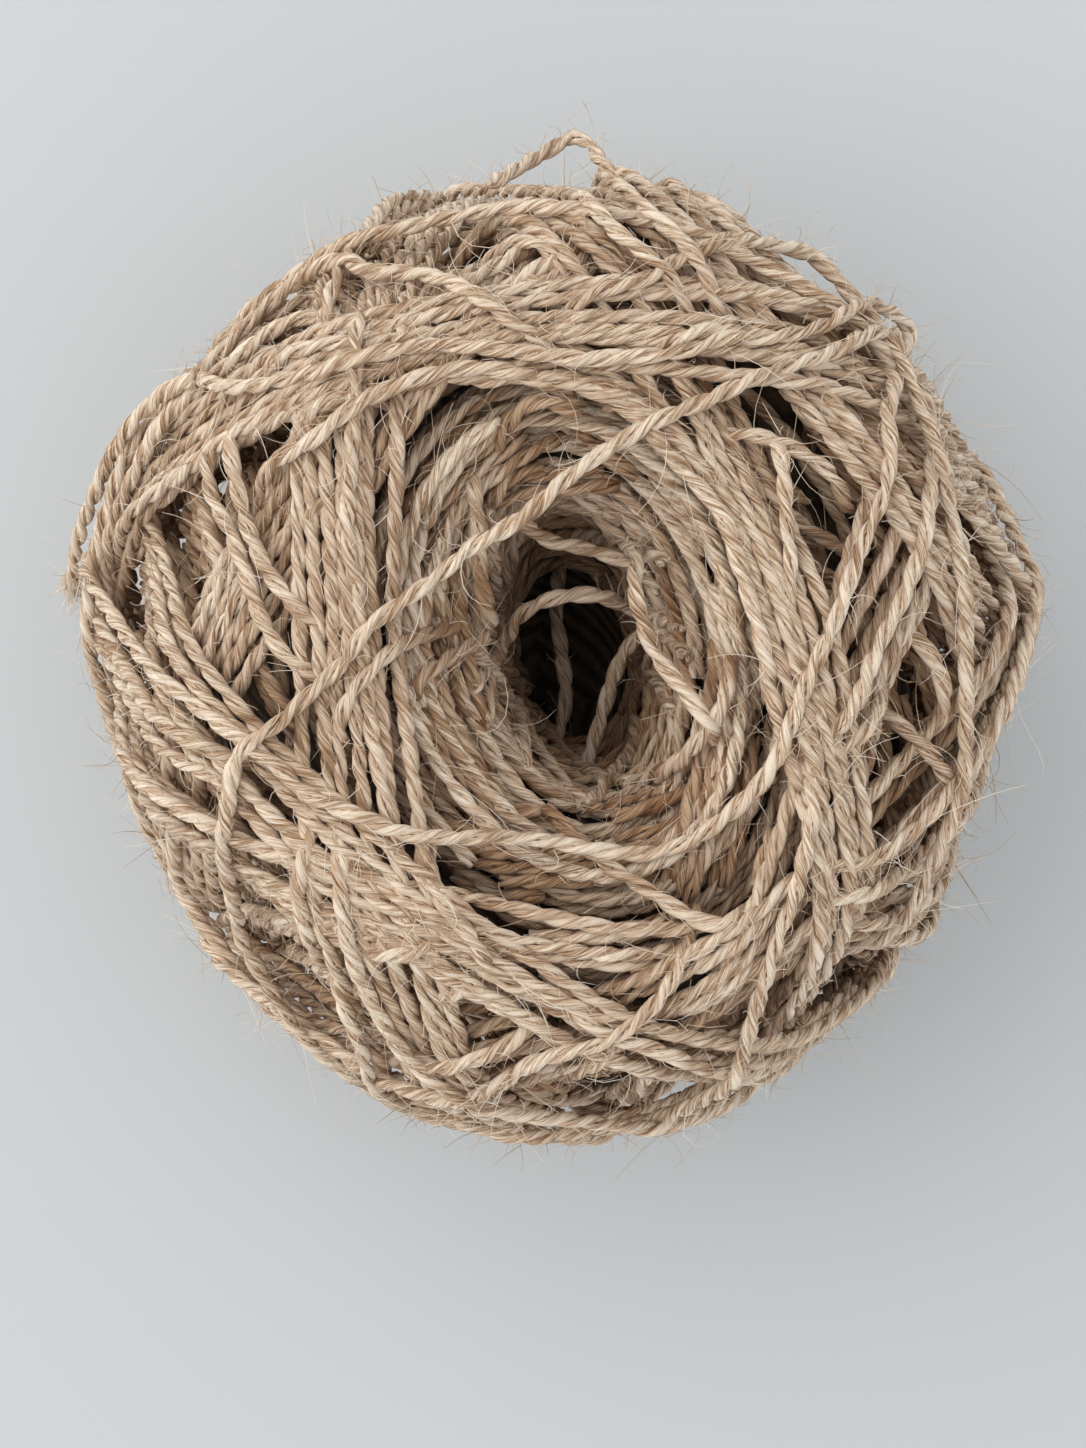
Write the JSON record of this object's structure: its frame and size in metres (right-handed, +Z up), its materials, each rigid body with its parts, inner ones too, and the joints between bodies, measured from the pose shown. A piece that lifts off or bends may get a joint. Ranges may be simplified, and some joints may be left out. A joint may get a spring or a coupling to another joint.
{
  "type": "ball of fingering yarn",
  "caption": "Hand-wound ball of two-ply natural yarn with crossing bundles of turns, a deep oval hollow in its upper side and a short loose end.",
  "frame": {"origin": "on the surface it stands on, under the middle of the ball", "axes": "+Z up, along the hollow; +X to the right and +Y away from the viewer, as seen from above with the loose end on the left"},
  "size_m": [0.0947, 0.0962, 0.0672],
  "materials": {
    "yarn": "matte two-ply natural yarn, pale flax with tan streaks and fine loose hairs"
  },
  "bodies": {
    "root": {"wound_ball": "yarn", "loose_end": "yarn"}
  },
  "joints": []
}
